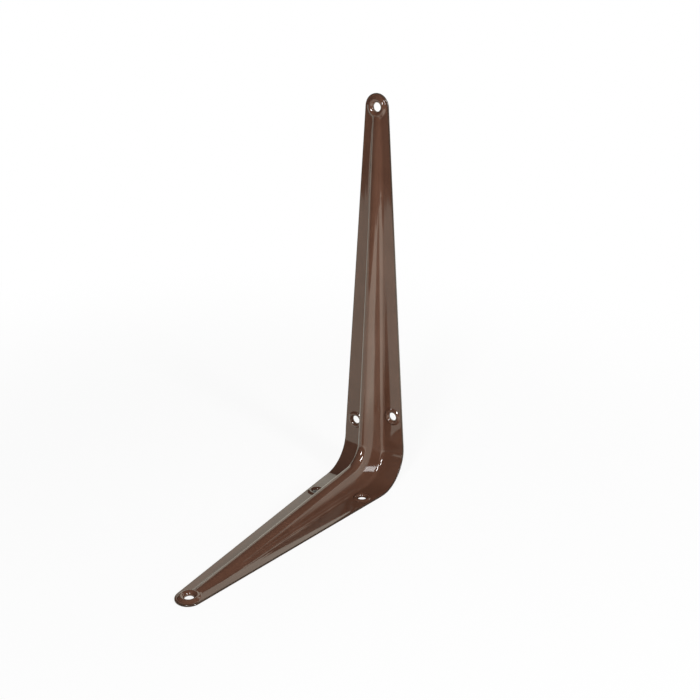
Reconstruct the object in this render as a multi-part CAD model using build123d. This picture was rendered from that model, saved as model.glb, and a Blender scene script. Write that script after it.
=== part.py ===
from build123d import *
import math
import os

# Shelf bracket pressed from one sheet: two tapered arms at a right angle, a hollow rib that runs
# from tip to tip round the inside of the corner, and six dished screw holes, each in a raised bead.
# It is built about the outer corner: the outer faces lie on Y = 0 (to the wall, facing +Y) and Z = 0
# (to the shelf, facing -Z), the long arm runs up +Z, the short arm runs out along -Y, and X = 0 is
# the middle of the rib. At the end it moves to its frame, with the origin under the middle of its box.
# Sizes are in mm and degrees.

# Sheet and arms
WALL_ARM = 200.0            # outer corner to the end of the upright arm
SHELF_ARM = 150.0           # outer corner to the end of the level arm
SHEET = 1.0                 # thickness of the steel
BEND_RADIUS = 18.7          # outside of the bend between the arms
SHOULDER_BLEND = 100.0      # eases the parallel corner into the tapered arms
EDGE_BREAK = 0.25           # eased edges of the sheet

# Rib
RIB_CORNER_HEIGHT = 14.35   # crest line over the outer faces, carried on to the corner
RIB_CREST_BEND = 11.0       # radius of the crest line round the inside of the corner
RIB_CROWN = 3.0             # roundness of the crest
RIB_DRAFT = 16.0            # lean of the rib's walls
RIB_FOOT_FILLET = 2.2       # inside radius where the rib leaves the flat sheet
RIB_MOUTH_FILLET = 2.0      # rounding at the back, where the hollow of the rib opens
RIB_STEP = 0.5              # the crest ends this far below the top of the tip's bead

# Screw holes and their beads
HOLE_RADIUS = 2.15
DISH_LIP = 15.0             # slope of the rolled dish at its rim, from the plane of the sheet
DISH_THROAT = 60.0          # and where it meets the hole
BEAD_SLOPE = 45.0           # outer side of a bead from the plane of the sheet
BEAD_RIDGE = 0.25           # flat left on top of a bead
BEAD_CROWN = 0.8            # radius that the bevel from a bead's top to its side follows
BEAD_FOOT_FILLET = 0.6      # inside radius where a bead leaves the flat sheet
TIP_DISH = 3.7              # radius of the dish at the tips
CORNER_DISH = 3.3           # and beside the corner
TIP_BEAD_HEIGHT = 1.0       # bead over the flat sheet at the tips
CORNER_BEAD_HEIGHT = 0.75   # and beside the corner
TIP_RIM = 1.2               # sheet outside the foot of a tip's bead
HOLE_OFFSET = 11.5          # middle of the rib to the holes beside it
EDGE_MARGIN = 2.1           # sheet outside the corner beads
NEAR_HOLE_GAP = 4.5         # flat sheet between the bend and the nearer bead
HOLE_STAGGER = 8.0          # from the nearer hole beside the rib to the farther one

# Modelling constants
FOOT_DIP = 0.005            # a bead's foot dips this far into the sheet, so that the two join cleanly
TOLERANCE = 0.001
UPWARD = (Align.CENTER, Align.CENTER, Align.MIN)


def rise(run, slope):
    return run * math.tan(math.radians(slope))


def run_of(height, slope):
    return height / math.tan(math.radians(slope))


def fillet_reach(radius, slope):
    """How far a fillet between the flat sheet and a wall of this slope reaches over the sheet."""
    return radius * math.tan(math.radians(slope / 2))


class Bead:
    """Radii of a raised bead round a dished hole."""

    def __init__(self, height, rim):
        self.height = height
        self.rim = rim
        self.top = rim + BEAD_RIDGE
        self.foot = self.top + fillet_reach(BEAD_CROWN, BEAD_SLOPE) + run_of(height, BEAD_SLOPE)
        self.reach = self.foot + fillet_reach(BEAD_FOOT_FILLET, BEAD_SLOPE)


# Places that follow from the sizes
tip_bead = Bead(TIP_BEAD_HEIGHT, TIP_DISH)
corner_bead = Bead(CORNER_BEAD_HEIGHT, CORNER_DISH)
tip_radius = tip_bead.foot + TIP_RIM
rib_tip_height = SHEET + TIP_BEAD_HEIGHT - RIB_STEP
rib_depth = 1.5 * RIB_CORNER_HEIGHT
half_width = HOLE_OFFSET + corner_bead.reach + EDGE_MARGIN
near_hole = BEND_RADIUS + NEAR_HOLE_GAP + corner_bead.reach
far_hole = near_hole + HOLE_STAGGER

# Each arm has its own plane: X across the arm, Y from the corner to the tip, Z into the L.
# With it goes the distance from the corner to the hole in the arm's tip.
WALL = (Plane(origin=(0, 0, 0), x_dir=(1, 0, 0), z_dir=(0, -1, 0)), WALL_ARM - tip_radius)
SHELF = (Plane(origin=(0, 0, 0), x_dir=(-1, 0, 0), z_dir=(0, 0, 1)), SHELF_ARM - tip_radius)
ARMS = (WALL, SHELF)


def fold_line(inset):
    """The L of the folded sheet in the Y-Z plane, moved in from the outer faces."""
    return FilletPolyline(
        (-inset, WALL_ARM), (-inset, inset), (-SHELF_ARM, inset), radius=BEND_RADIUS - inset
    )


def arm_outline(tip_hole):
    """Parallel at the corner, then straight edges that meet a round tip."""
    span = tip_hole - BEND_RADIUS
    lean = math.acos(tip_radius / math.hypot(half_width, span)) - math.atan2(span, half_width)
    end_x = tip_radius * math.cos(lean)
    end_y = tip_hole + tip_radius * math.sin(lean)
    right = Polyline((end_x, end_y), (half_width, BEND_RADIUS), (half_width, 0))
    left = Polyline((-half_width, 0), (-half_width, BEND_RADIUS), (-end_x, end_y))
    foot = Line((half_width, 0), (-half_width, 0))
    nose = ThreePointArc((-end_x, end_y), (0, tip_hole + tip_radius), (end_x, end_y))
    face = make_face([right, foot, left, nose])
    corners = [v for v in face.vertices() if abs(v.Y - BEND_RADIUS) < TOLERANCE]
    return fillet(corners, SHOULDER_BLEND)


def make_flanges():
    """The flat arms and the bend: a folded strip cut to both outlines, with its edges eased."""
    ends = [Line((-SHELF_ARM, 0), (-SHELF_ARM, SHEET)), Line((-SHEET, WALL_ARM), (0, WALL_ARM))]
    profile = make_face([fold_line(0), fold_line(SHEET)] + ends)
    strip = extrude(Plane.YZ * profile, amount=half_width, both=True)
    for plane, tip_hole in ARMS:
        strip &= extrude(plane * arm_outline(tip_hole), amount=WALL_ARM + SHELF_ARM)
    rims = [
        edge for edge in strip.edges()
        if edge.length > 2 * SHEET and not (edge.geom_type == GeomType.LINE and abs((edge % 0).X) > 0.9)
    ]
    return chamfer(rims, EDGE_BREAK)


def crest_line(tip_gap):
    """The crest of the rib in the Y-Z plane, ending short of the tip holes by tip_gap."""
    drop = RIB_CORNER_HEIGHT - rib_tip_height
    wall_lean, shelf_lean = (drop / tip_hole for plane, tip_hole in ARMS)
    wall_end, shelf_end = (tip_hole - tip_gap for plane, tip_hole in ARMS)
    corner_y = RIB_CORNER_HEIGHT * (wall_lean - 1) / (1 - wall_lean * shelf_lean)
    return FilletPolyline(
        (wall_lean * wall_end - RIB_CORNER_HEIGHT, wall_end),
        (corner_y, RIB_CORNER_HEIGHT + shelf_lean * corner_y),
        (-shelf_end, RIB_CORNER_HEIGHT - shelf_lean * shelf_end),
        radius=RIB_CREST_BEND,
    )


def make_rib(inset, tip_gap):
    """A round-topped section carried along the crest; inset is zero outside and one sheet inside."""
    radius = RIB_CROWN - inset
    lean = math.radians(RIB_DRAFT)
    shoulder_x = radius * math.cos(lean)
    shoulder_y = radius * math.sin(lean) - RIB_CROWN
    base_x = shoulder_x + rise(rib_depth + shoulder_y, RIB_DRAFT)
    crown = ThreePointArc((-shoulder_x, shoulder_y), (0, -inset), (shoulder_x, shoulder_y))
    walls = Polyline(
        (shoulder_x, shoulder_y), (base_x, -rib_depth), (-base_x, -rib_depth), (-shoulder_x, shoulder_y)
    )
    crest = Plane.YZ * crest_line(tip_gap)
    start = Plane(origin=crest @ 0, x_dir=(1, 0, 0), z_dir=crest % 0)
    return sweep(start * make_face([crown, walls]), crest)


def make_inside():
    """Everything on the inner side of the outer faces."""
    far_sides = Polyline((-SHELF_ARM, 0), (-SHELF_ARM, WALL_ARM), (0, WALL_ARM))
    return extrude(Plane.YZ * make_face([fold_line(0), far_sides]), amount=half_width, both=True)


def arc_point(centre, radius, angle):
    """A point on a round edge, at an angle from its top."""
    return (
        centre[0] + radius * math.sin(math.radians(angle)),
        centre[1] + radius * math.cos(math.radians(angle)),
    )


def make_bead(bead):
    """A raised bead as a turned solid: bevelled top, sloping side and a foot that sweeps into the sheet."""
    sunk = SHEET - FOOT_DIP
    top = SHEET + bead.height
    crest = (bead.top, top - BEAD_CROWN)
    sweep_in = (bead.reach, sunk + BEAD_FOOT_FILLET)
    foot = ThreePointArc(
        *(arc_point(sweep_in, BEAD_FOOT_FILLET, 180 + BEAD_SLOPE * part) for part in (1, 0.5, 0))
    )
    side = Polyline((0, top), (bead.top, top), arc_point(crest, BEAD_CROWN, BEAD_SLOPE), foot @ 0)
    inside = Polyline(foot @ 1, (bead.reach, SHEET / 2), (0, SHEET / 2), (0, top))
    return revolve(Plane.XZ * make_face([side, foot, inside]), Axis.Z)


def make_plug(bead):
    """A stub hidden inside a tip's bead, for the fillets at the rib's foot to run up to."""
    height = SHEET / 2 + bead.height - RIB_STEP / 4
    return Pos(0, 0, SHEET / 2) * Cone(bead.foot, bead.rim, height, align=UPWARD)


def make_dimple(bead):
    """The hollow at the back of a bead, one sheet inside its sloping side."""
    mouth = bead.foot - fillet_reach(SHEET, BEAD_SLOPE)
    return Cone(mouth, mouth - run_of(bead.height, BEAD_SLOPE), bead.height, align=UPWARD)


def make_cup(bead):
    """The back of a dish, with one sheet's width of flat left round the hole."""
    base = HOLE_RADIUS + SHEET
    return Cone(base, base + run_of(bead.height, (DISH_LIP + DISH_THROAT) / 2), bead.height, align=UPWARD)


def make_dish(bead):
    """A dish that rolls over from its rim into the hole, and the hole through the sheet."""
    top = SHEET + bead.height
    turn = math.sin(math.radians(DISH_THROAT)) - math.sin(math.radians(DISH_LIP))
    radius = (bead.rim - HOLE_RADIUS) / turn
    lip = math.radians(DISH_LIP)
    centre = (bead.rim + radius * math.sin(lip), top - radius * math.cos(lip))
    middle = (DISH_LIP + DISH_THROAT) / 2
    roll = ThreePointArc(*(arc_point(centre, radius, -angle) for angle in (DISH_LIP, middle, DISH_THROAT)))
    below, above = -2 * SHEET, 2 * top
    walls = Polyline(
        roll @ 1, (HOLE_RADIUS, below), (0, below), (0, above), (bead.rim, above), (bead.rim, top)
    )
    return revolve(Plane.XZ * make_face([roll, walls]), Axis.Z)


def hole_places():
    """Where each hole sits, with its bead. The two beside the rib are staggered the same way on both arms."""
    for plane, tip_hole in ARMS:
        yield plane * Pos(0, tip_hole), tip_bead
        yield plane * Pos(HOLE_OFFSET, far_hole), corner_bead
        yield plane * Pos(-HOLE_OFFSET, near_hole), corner_bead


def on_outer_face(point):
    """True for a point on the wall face, on the shelf face or on the bend between them."""
    if abs(point.Y) < TOLERANCE or abs(point.Z) < TOLERANCE:
        return True
    return abs(math.hypot(point.Y + BEND_RADIUS, point.Z - BEND_RADIUS) - BEND_RADIUS) < TOLERANCE


# Solid form: flanges, rib and the fillets along the rib's foot
flanges = make_flanges()
rib = make_rib(0, 0) & make_inside()
plugs = [plane * Pos(0, tip_hole) * make_plug(tip_bead) for plane, tip_hole in ARMS]
body = flanges + rib + plugs
foot_edges = [
    edge for edge in new_edges(flanges, rib, *plugs, combined=body)
    if edge.geom_type != GeomType.CIRCLE and abs(edge.center().X) > HOLE_RADIUS / 2
]
body = fillet(foot_edges, RIB_FOOT_FILLET)
for place, bead in hole_places():
    body += place * make_bead(bead)

# Back of the pressing: the hollow under the rib and the dimples, with the hollow's mouth rounded
hollow = make_rib(SHEET, tip_bead.rim)
dimples = [place * make_dimple(bead) for place, bead in hole_places()]
pressed = body - hollow - dimples
mouth_edges = [
    edge for edge in new_edges(body, hollow, *dimples, combined=pressed)
    if edge.geom_type != GeomType.CIRCLE and on_outer_face(edge @ 0.5)
]
body = fillet(mouth_edges, RIB_MOUTH_FILLET)

# Screw holes: the cup behind each dish, then the dish and its hole
for place, bead in hole_places():
    body += place * make_cup(bead)
    body -= place * make_dish(bead)

body = Pos(0, SHELF_ARM / 2, 0) * body

os.makedirs("parts", exist_ok=True)
export_step(body.solid(), "parts/bracket.step")
print(f"bracket: {body.volume:.0f} mm3, tips {tip_radius:.2f}, corner width {2 * half_width:.2f}")
print(f"holes: {HOLE_OFFSET:.3f} off the middle, {near_hole:.3f} and {far_hole:.3f} from the corner")
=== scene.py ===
# %% [markdown]
# # A shelf bracket in brown enamel
# The bracket is one pressing of thin steel: two tapered arms, a hollow rib round the inside of the
# corner and six dished screw holes. All of its shape comes from the CAD frame. What is made here is
# its finish, a glossy coat of dark brown enamel, with the white table, the lamps and the camera of a
# catalogue picture. Lengths are in metres, and MM turns a length in millimetres into metres.

# %% Frame
import math

import bmesh
import bpy
from mathutils import Matrix, Vector


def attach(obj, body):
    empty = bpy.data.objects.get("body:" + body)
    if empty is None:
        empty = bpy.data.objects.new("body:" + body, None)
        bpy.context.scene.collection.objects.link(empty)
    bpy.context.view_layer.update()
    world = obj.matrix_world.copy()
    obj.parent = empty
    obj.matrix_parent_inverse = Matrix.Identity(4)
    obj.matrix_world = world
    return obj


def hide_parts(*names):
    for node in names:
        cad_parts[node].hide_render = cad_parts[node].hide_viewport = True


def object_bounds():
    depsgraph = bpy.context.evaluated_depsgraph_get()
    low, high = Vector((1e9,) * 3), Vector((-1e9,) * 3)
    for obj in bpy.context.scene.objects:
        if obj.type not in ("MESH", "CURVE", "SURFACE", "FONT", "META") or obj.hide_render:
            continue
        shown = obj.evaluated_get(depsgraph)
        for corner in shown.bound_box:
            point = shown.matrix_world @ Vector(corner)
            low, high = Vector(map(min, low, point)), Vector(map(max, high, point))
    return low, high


MM = 0.001
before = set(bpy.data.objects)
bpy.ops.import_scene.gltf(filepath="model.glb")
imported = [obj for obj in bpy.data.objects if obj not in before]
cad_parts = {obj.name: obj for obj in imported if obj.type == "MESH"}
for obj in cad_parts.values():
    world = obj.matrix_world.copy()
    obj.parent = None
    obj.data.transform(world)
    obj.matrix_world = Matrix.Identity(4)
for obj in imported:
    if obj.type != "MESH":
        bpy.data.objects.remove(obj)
cad_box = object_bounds()
cad_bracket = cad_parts["bracket"]
low_corner, high_corner = (Vector(corner) for corner in cad_box)
print("CAD box in mm:", [round(side / MM, 2) for side in high_corner - low_corner])

# %% [markdown]
# ## The pressing
# A CAD mesh arrives as loose triangles, so light would break at every facet. Remodelling the bracket
# by hand could only lose accuracy. Instead a copy is welded where its corners meet, and shaded smooth.
# Edges that turn by more than SHARP_TURN stay crisp. The eased edges of the sheet turn by less in each
# step, so they catch light as rounded, enamelled edges do. The Weighted Normal modifier lets the large
# flat faces decide how their borders are lit, which keeps reflections straight on the flats.

# %% Weld and shade
WELD_GAP = 0.002 * MM
SHARP_TURN = math.radians(50)
FLAT_WEIGHT = 50


def welded_copy(node, name):
    """A smooth-shaded copy of a CAD node's mesh, at the same place."""
    mesh = node.data.copy()
    mesh.name = name
    mesh.materials.clear()
    shell = bmesh.new()
    shell.from_mesh(mesh)
    loose = len(shell.verts)
    bmesh.ops.remove_doubles(shell, verts=shell.verts, dist=WELD_GAP)
    print(f"{name}: {loose} loose corners welded into {len(shell.verts)}, {len(shell.faces)} faces")
    shell.to_mesh(mesh)
    shell.free()
    mesh.shade_smooth()
    mesh.set_sharp_from_angle(angle=SHARP_TURN)
    piece = bpy.data.objects.new(name, mesh)
    bpy.context.collection.objects.link(piece)
    flats_lead = piece.modifiers.new("flats lead", "WEIGHTED_NORMAL")
    flats_lead.keep_sharp = True
    flats_lead.weight = FLAT_WEIGHT
    return piece


pressing = welded_copy(cad_bracket, "bracket_enamelled")

# %% [markdown]
# ## Writing shader sums
# A finish is a sum of small effects. Node by node that is hard to read, so a Value wraps a socket and
# lets Python's own operators add the Math nodes. Shader.add makes any other node: its settings are set
# first, then its sockets get numbers or links.


# %% Shader helpers
class Value:
    """An output of a node; where it is a number, it can be used in Python sums."""

    def __init__(self, shader, socket):
        self.shader = shader
        self.socket = socket

    def math(self, operation, *terms):
        return self.shader.add("ShaderNodeMath", {"operation": operation}, dict(enumerate(terms)))

    def __add__(self, other):
        return self.math("ADD", self, other)

    def __sub__(self, other):
        return self.math("SUBTRACT", self, other)

    def __rsub__(self, other):
        return self.math("SUBTRACT", other, self)

    def __mul__(self, other):
        return self.math("MULTIPLY", self, other)

    def __abs__(self):
        return self.math("ABSOLUTE", self)

    def least(self, other):
        return self.math("MINIMUM", self, other)

    def most(self, other):
        return self.math("MAXIMUM", self, other)

    def root(self):
        return self.math("SQRT", self)

    __radd__ = __add__
    __rmul__ = __mul__


class Shader:
    """The node tree of a material or of the world."""

    def __init__(self, owner):
        owner.use_nodes = True
        self.tree = owner.node_tree

    def add(self, kind, settings=None, sockets=None, output=0):
        """Makes a node and returns one of its outputs."""
        node = self.tree.nodes.new(kind)
        for name, setting in (settings or {}).items():
            setattr(node, name, setting)
        self.feed(node, sockets or {})
        return Value(self, node.outputs[output])

    def feed(self, node, sockets):
        """Gives a node's sockets their numbers or links."""
        for name, entry in sockets.items():
            if isinstance(entry, Value):
                self.tree.links.new(entry.socket, node.inputs[name])
            else:
                node.inputs[name].default_value = entry

    def named(self, name):
        """A node that the tree started with."""
        return self.tree.nodes[name]

    def ramp(self, value, start, end, low=0.0, high=1.0):
        """Eases from low to high while value goes from start to end."""
        return self.add(
            "ShaderNodeMapRange",
            {"interpolation_type": "SMOOTHSTEP"},
            {"Value": value, "From Min": start, "From Max": end, "To Min": low, "To Max": high},
        )

    def noise(self, place, size, detail):
        """Soft blotches, about size across, from 0 to 1."""
        return self.add(
            "ShaderNodeTexNoise", {}, {"Vector": place, "Scale": 1 / size, "Detail": detail}
        )

    def blend(self, factor, first, second):
        """A colour between two colours, which a Mix node has at inputs 6 and 7 and output 2."""
        sockets = {0: factor, 6: first, 7: second}
        return self.add("ShaderNodeMix", {"data_type": "RGBA"}, sockets, output=2)


# %% [markdown]
# ## Where the coat runs thin
# Wet enamel draws back from a cut edge and leaves a thin, darker and duller line there. The shader has
# to know how far a point lies from the edge of the sheet. Each arm is parallel at the corner and then
# tapers to a round tip, so that distance comes from a few sums on Object coordinates. Along an arm, a
# frame that is turned to lie with the tapered edge has the edge at one value of across, and the tip is
# a circle about the tip's hole.

# %% Edge of the sheet
TIP_RADIUS = 6.48 * MM
HALF_WIDTH = 18.48 * MM
BEND_RADIUS = 18.7 * MM
WALL_TIP = 193.52 * MM
SHELF_TIP = 143.52 * MM


def arm_edge_distance(side, along, tip):
    """How far a point lies inside the edge of an arm whose tip hole lies tip from the corner."""
    span = tip - BEND_RADIUS
    lean = math.acos(TIP_RADIUS / math.hypot(HALF_WIDTH, span)) - math.atan2(span, HALF_WIDTH)
    past_tip = along - tip
    across = (side * math.cos(lean) + past_tip * math.sin(lean)).most(0.0)
    beyond = (past_tip * math.cos(lean) - side * math.sin(lean)).most(0.0)
    return TIP_RADIUS - (across * across + beyond * beyond).root()


def sheet_edge_distance(x, y, z):
    """How far a point lies inside the edge of the whole sheet."""
    side = abs(x)
    wall = arm_edge_distance(side, z, WALL_TIP)
    shelf = arm_edge_distance(side, high_corner.y - y, SHELF_TIP)
    return (HALF_WIDTH - side).least(wall).least(shelf)


# %% [markdown]
# ## Brown enamel
# The coat is a gloss brown that mirrors the room at a glance and shows its own colour elsewhere. A flat
# colour with a low roughness would look like plastic, so small effects are added at their true size.
# Orange peel about 2 mm across and a slow waviness of the sheet bend the reflections a little. The tool
# that pressed the rib left fine lines along it: lines of equal X follow the rib on both arms and round
# the corner, so noise on X alone draws them. Drawing the deep rib also turned the flanges up by 2 or 3
# degrees towards their edges, which shows only in where their reflections end, so it is bump as well.
# Pigment and gloss vary softly, and the coat is thin at the edges. Heights are in metres, so the Bump
# node needs no scale of its own.

# %% Enamel
BROWN = (0.098, 0.046, 0.029, 1)
DEEP_BROWN = (0.086, 0.039, 0.024, 1)
THIN_BROWN = (0.046, 0.028, 0.019, 1)
GLOSS = 0.05
GLOSS_SPREAD = 0.04
THIN_DULLING = 0.12
ENAMEL_IOR = 1.62
PEEL_SIZE, PEEL_HEIGHT = 2.2 * MM, 0.0035 * MM
WAVE_SIZE, WAVE_HEIGHT = 26 * MM, 0.03 * MM
LINE_SIZE, LINE_HEIGHT = 0.8 * MM, 0.03 * MM
PEEL_DETAIL, WAVE_DETAIL, LINE_DETAIL, BLOTCH_DETAIL = 2.0, 1.0, 3.0, 4.0
NOISE_MIDDLE = 0.5
LINE_FADE = 1 * MM
RIB_FOOT = 6.5 * MM
CORNER_TURN, TIP_TURN = 0.052, 0.032
TURN_START, TURN_END = 50 * MM, 150 * MM
BLOTCH_SIZE = 14 * MM
BLOTCH_LOW, BLOTCH_HIGH = 0.3, 0.7
THIN_START, THIN_END = 0.12 * MM, 0.75 * MM


def make_enamel():
    """The coat, with its pigment, gloss and fine relief."""
    material = bpy.data.materials.new("brown enamel")
    shader = Shader(material)
    place = shader.add("ShaderNodeTexCoord", output="Object")
    x, y, z = (shader.add("ShaderNodeSeparateXYZ", {}, {0: place}, output=axis) for axis in "XYZ")

    peel = shader.noise(place, PEEL_SIZE, PEEL_DETAIL) * PEEL_HEIGHT
    wave = shader.noise(place, WAVE_SIZE, WAVE_DETAIL) * WAVE_HEIGHT
    across_rib = shader.add(
        "ShaderNodeTexNoise",
        {"noise_dimensions": "1D"},
        {"W": x, "Scale": 1 / LINE_SIZE, "Detail": LINE_DETAIL},
    )
    on_rib = shader.ramp(abs(x), RIB_FOOT, RIB_FOOT - LINE_FADE)
    lines = across_rib * on_rib * LINE_HEIGHT
    from_corner = z.most(high_corner.y - y)
    turn = shader.ramp(from_corner, TURN_START, TURN_END, CORNER_TURN, TIP_TURN)
    turned_up = (abs(x) - RIB_FOOT).most(0.0) * turn
    height = peel + wave + lines + turned_up
    bump = shader.add("ShaderNodeBump", {}, {"Height": height, "Strength": 1.0, "Distance": 1.0})

    blotch = shader.noise(place, BLOTCH_SIZE, BLOTCH_DETAIL)
    ragged = sheet_edge_distance(x, y, z) + (blotch - NOISE_MIDDLE) * THIN_START
    thin = shader.ramp(ragged, THIN_END, THIN_START)
    pigment = shader.blend(shader.ramp(blotch, BLOTCH_LOW, BLOTCH_HIGH), BROWN, DEEP_BROWN)
    shader.feed(shader.named("Principled BSDF"), {
        "Base Color": shader.blend(thin, pigment, THIN_BROWN),
        "Roughness": GLOSS + blotch * GLOSS_SPREAD + thin * THIN_DULLING,
        "IOR": ENAMEL_IOR,
        "Normal": bump,
    })
    return material


pressing.data.materials.append(make_enamel())
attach(pressing, "root")
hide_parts("bracket")
print("enamel on", pressing.name)

# %% [markdown]
# ## White table and backdrop
# A catalogue picture has a white ground. Lighting a white table until it burns out would also flood
# the bracket, so the table and the backdrop glow by themselves, but only for rays that come from the
# camera or from a gloss. To all other rays they are plain white card that the lamps light. Close to the
# bracket a share of the lit card stays in what the camera sees, and that keeps its shadow. One screw
# hole opens on the rib's dark side, so a disc of painted shade lies under it: dark grey card with no
# glow for the camera. Without it the card would shine up through the hole. The glow that the enamel
# mirrors is painted warm and uneven. A painted pool of light makes the table brighter to the right,
# painted shade makes it dark close to that side of the level arm, and the backdrop's painted glow fades
# to the left. The table ends in front of the bracket, and the dark room beyond it gives the upper arm
# its deep colour.

# %% Stage
CARD_WHITE = (0.85, 0.85, 0.85, 1)
PURE_WHITE = (1, 1, 1, 1)
BLACK = (0, 0, 0, 1)
# Painted shade: the card's dark grey under one screw hole
PAINTED_SHADE_GREY = (0.2, 0.2, 0.2, 1)
WARM_WHITE = (1.0, 0.97, 0.84, 1)
SHADOW_SHARE = 0.1
SHADOW_REACH, SHADOW_END = 150 * MM, 450 * MM
# Painted pool of light: the table's mirrored glow rises towards the right
TABLE_GLOW, PAINTED_POOL_GLOW = 1.0, 1.8
PAINTED_POOL_START, PAINTED_POOL_END = 60 * MM, 130 * MM
# Painted light: the backdrop's mirrored glow fades from its full strength towards the left
BACKDROP_GLOW, PAINTED_FADE_GLOW = 1.45, 1.05
PAINTED_FADE_START, PAINTED_FADE_END = -1.15, -1.7
# Painted shade: how far beside the level arm the table's mirrored glow stays black
PAINTED_ARM_SHADE_START, PAINTED_ARM_SHADE_END = 12 * MM, 24 * MM
TABLE_DROP = 0.2 * MM
TABLE_FRONT = -0.42
BACKDROP_Y = 1.6
BACKDROP_TOP = 1.9
STAGE_LEFT, STAGE_RIGHT = -2.6, 0.66
# Where the disc of painted shade lies, under the screw hole on the rib's dark side
SHADED_HOLE = (-11.5 * MM, 38.92 * MM)
SHADED_RADIUS = 3 * MM
CARD_EASE = 1 * MM
TABLE_ROUGHNESS, BACKDROP_ROUGHNESS = 0.5, 0.8


def warm(strength):
    """Warm white at a strength."""
    red, green, blue, opaque = WARM_WHITE
    return (strength * red, strength * green, strength * blue, opaque)


def make_card(name, roughness, start, end, start_glow, end_glow):
    """White card whose painted glow for reflections eases from one strength to another between two
    values of X, with painted shade beside the level arm and under one screw hole.
    """
    material = bpy.data.materials.new(name)
    shader = Shader(material)
    place = shader.add("ShaderNodeTexCoord", output="Object")
    x, y = (shader.add("ShaderNodeSeparateXYZ", {}, {0: place}, output=axis) for axis in "XY")
    camera_ray = shader.add("ShaderNodeLightPath", output="Is Camera Ray")
    glossy_ray = shader.add("ShaderNodeLightPath", output="Is Glossy Ray")

    def distance(to_x, to_y):
        return ((x - to_x) * (x - to_x) + (y - to_y) * (y - to_y)).root()

    clear = shader.ramp(distance(0.0, 0.0), SHADOW_REACH, SHADOW_END, 1 - SHADOW_SHARE, 1.0)
    # Painted shade under that screw hole: dark grey card, and no glow for the camera
    outside_painted_hole_shade = shader.ramp(distance(*SHADED_HOLE), SHADED_RADIUS, SHADED_RADIUS + CARD_EASE)
    card = shader.blend(outside_painted_hole_shade, PAINTED_SHADE_GREY, CARD_WHITE)
    plain = shader.named("Principled BSDF")
    shader.feed(plain, {"Base Color": card, "Roughness": roughness})
    # Painted shade: the mirrored glow goes black close to the right side of the level arm
    beside = 0.0 - arm_edge_distance(x, high_corner.y - y, SHELF_TIP)
    left_of_arm = shader.ramp(x, 0.0, -CARD_EASE)
    outside_painted_arm_shade = shader.ramp(beside, PAINTED_ARM_SHADE_START, PAINTED_ARM_SHADE_END).most(left_of_arm)
    # Painted light: a pool of light on the table, or a fade on the backdrop, in the glow that the enamel
    # mirrors
    painted_glow_spread = shader.blend(shader.ramp(x, start, end), warm(start_glow), warm(end_glow))
    painted_mirror_glow = shader.blend(outside_painted_arm_shade, BLACK, painted_glow_spread)
    glow = (camera_ray * clear * outside_painted_hole_shade + glossy_ray).least(1.0)
    colour = shader.blend(camera_ray, painted_mirror_glow, PURE_WHITE)
    glowing = shader.add("ShaderNodeEmission", {}, {"Color": colour})
    lit = Value(shader, plain.outputs[0])
    mixed = shader.add("ShaderNodeMixShader", {}, {0: glow, 1: lit, 2: glowing})
    shader.feed(shader.named("Material Output"), {"Surface": mixed})
    return material


def make_panel(name, middle, across, up, material):
    """A flat panel about its middle, spanned by two half edges."""
    panel = bmesh.new()
    bmesh.ops.create_grid(panel, x_segments=1, y_segments=1, size=1)
    axes = Matrix((across, up, across.cross(up).normalized())).transposed().to_4x4()
    bmesh.ops.transform(panel, matrix=Matrix.Translation(middle) @ axes, verts=panel.verts)
    mesh = bpy.data.meshes.new(name)
    panel.to_mesh(mesh)
    panel.free()
    mesh.materials.append(material)
    stage = bpy.data.objects.new(name, mesh)
    bpy.context.collection.objects.link(stage)


sideways = Vector(((STAGE_RIGHT - STAGE_LEFT) / 2, 0, 0))
middle_x = (STAGE_LEFT + STAGE_RIGHT) / 2
make_panel(
    "table",
    middle=Vector((middle_x, (BACKDROP_Y + TABLE_FRONT) / 2, -TABLE_DROP)),
    across=sideways,
    up=Vector((0, (BACKDROP_Y - TABLE_FRONT) / 2, 0)),
    material=make_card("table card", TABLE_ROUGHNESS, PAINTED_POOL_START, PAINTED_POOL_END, TABLE_GLOW, PAINTED_POOL_GLOW),
)
make_panel(
    "backdrop",
    middle=Vector((middle_x, BACKDROP_Y, BACKDROP_TOP / 2)),
    across=sideways,
    up=Vector((0, 0, BACKDROP_TOP / 2)),
    material=make_card(
        "backdrop card", BACKDROP_ROUGHNESS, PAINTED_FADE_START, PAINTED_FADE_END, BACKDROP_GLOW, PAINTED_FADE_GLOW
    ),
)
print("table and backdrop stand")

# %% [markdown]
# ## Lamps and room
# Two upright soft boxes light the bracket, one in front and one at its side. They are narrow because the
# enamel mirrors them: they show as short bright streaks on the crown of the rib and on the beads. Their
# power is set so that the brown renders about as it is written. A broad rear lamp does the same for the
# back. Glossy rays pass it by, because it would draw long lines on the level arm. The room round them
# is nearly dark, and white where the camera looks past the backdrop.

# %% Lamps
LAMP_AIM = Vector((0, 60, 40)) * MM
LAMP_DISTANCE = 0.9
LAMP_WIDTH, LAMP_HEIGHT = 0.13, 0.28
LAMP_POWER = 5.2
REAR_SIZE, REAR_POWER = 0.5, 4.0
ROOM_GREY = (0.05, 0.05, 0.05, 1)


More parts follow.
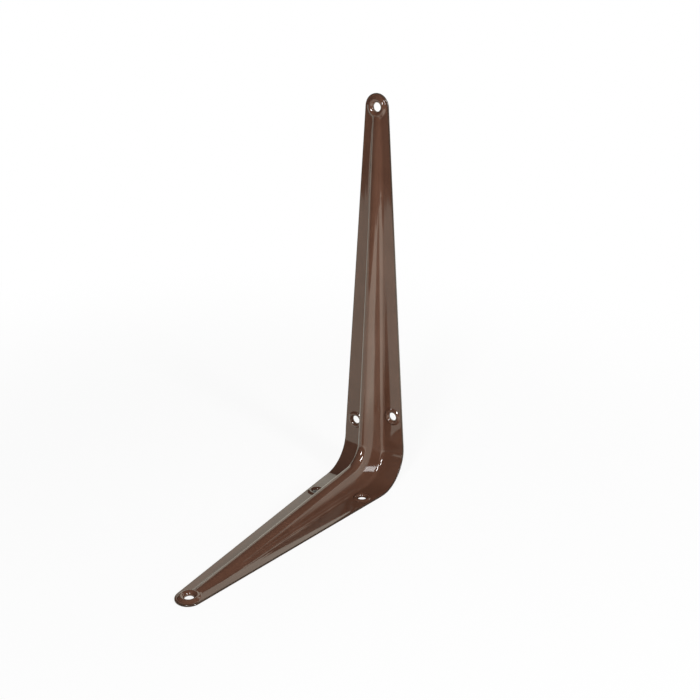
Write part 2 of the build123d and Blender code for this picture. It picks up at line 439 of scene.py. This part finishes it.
def make_lamp(name, azimuth, elevation, width=LAMP_WIDTH, height=LAMP_HEIGHT, power=LAMP_POWER):
    """An upright soft box; the azimuth turns from the front of the bracket towards its right."""
    turn, lift = math.radians(azimuth), math.radians(elevation)
    way = Vector((math.sin(turn) * math.cos(lift), -math.cos(turn) * math.cos(lift), math.sin(lift)))
    light = bpy.data.lights.new(name, "AREA")
    light.shape = "RECTANGLE"
    light.size, light.size_y = width, height
    light.energy = power
    lamp = bpy.data.objects.new(name, light)
    lamp.location = LAMP_AIM + LAMP_DISTANCE * way
    lamp.rotation_euler = way.to_track_quat("Z", "Y").to_euler()
    bpy.context.collection.objects.link(lamp)
    return lamp


make_lamp("front lamp", azimuth=20, elevation=30)
make_lamp("side lamp", azimuth=76, elevation=27)
rear_lamp = make_lamp(
    "rear lamp", azimuth=185, elevation=25, width=REAR_SIZE, height=REAR_SIZE, power=REAR_POWER
)
rear_lamp.visible_glossy = False

room = bpy.data.worlds.new("room")
bpy.context.scene.world = room
room_shader = Shader(room)
seen = room_shader.add("ShaderNodeLightPath", output="Is Camera Ray")
sky = room_shader.blend(seen, ROOM_GREY, PURE_WHITE)
room_shader.feed(room_shader.named("Background"), {"Color": sky})
print("three lamps in a dark room")

# %% [markdown]
# ## Camera
# The viewpoint was fitted to the outline of the bracket: 35 degrees round from the front and 22 degrees
# up, about half a metre away, which gives the arms their perspective.

# %% Camera
VIEW_AZIMUTH = math.radians(35.487)
VIEW_ELEVATION = math.radians(21.821)
VIEW_DISTANCE = 523.3 * MM
AIM = Vector((0, 27, 80)) * MM
AIM_RIGHT, AIM_UP = 14.81 * MM, 5.53 * MM
SENSOR = 36.0
IMAGE_WIDTH = 700
FOCAL_PIXELS = 1100

back = Vector((
    math.sin(VIEW_AZIMUTH) * math.cos(VIEW_ELEVATION),
    -math.cos(VIEW_AZIMUTH) * math.cos(VIEW_ELEVATION),
    math.sin(VIEW_ELEVATION),
))
right = Vector((math.cos(VIEW_AZIMUTH), math.sin(VIEW_AZIMUTH), 0))
up = back.cross(right)
lens = bpy.data.cameras.new("camera")
lens.sensor_width = SENSOR
lens.lens = FOCAL_PIXELS * SENSOR / IMAGE_WIDTH
camera = bpy.data.objects.new("camera", lens)
turned = Matrix((right, up, back)).transposed().to_4x4()
stand = AIM + back * VIEW_DISTANCE + right * AIM_RIGHT + up * AIM_UP
camera.matrix_world = Matrix.Translation(stand) @ turned
bpy.context.collection.objects.link(camera)
bpy.context.scene.camera = camera
bpy.context.scene.view_settings.view_transform = "Standard"
print(f"lens {lens.lens:.1f} mm")
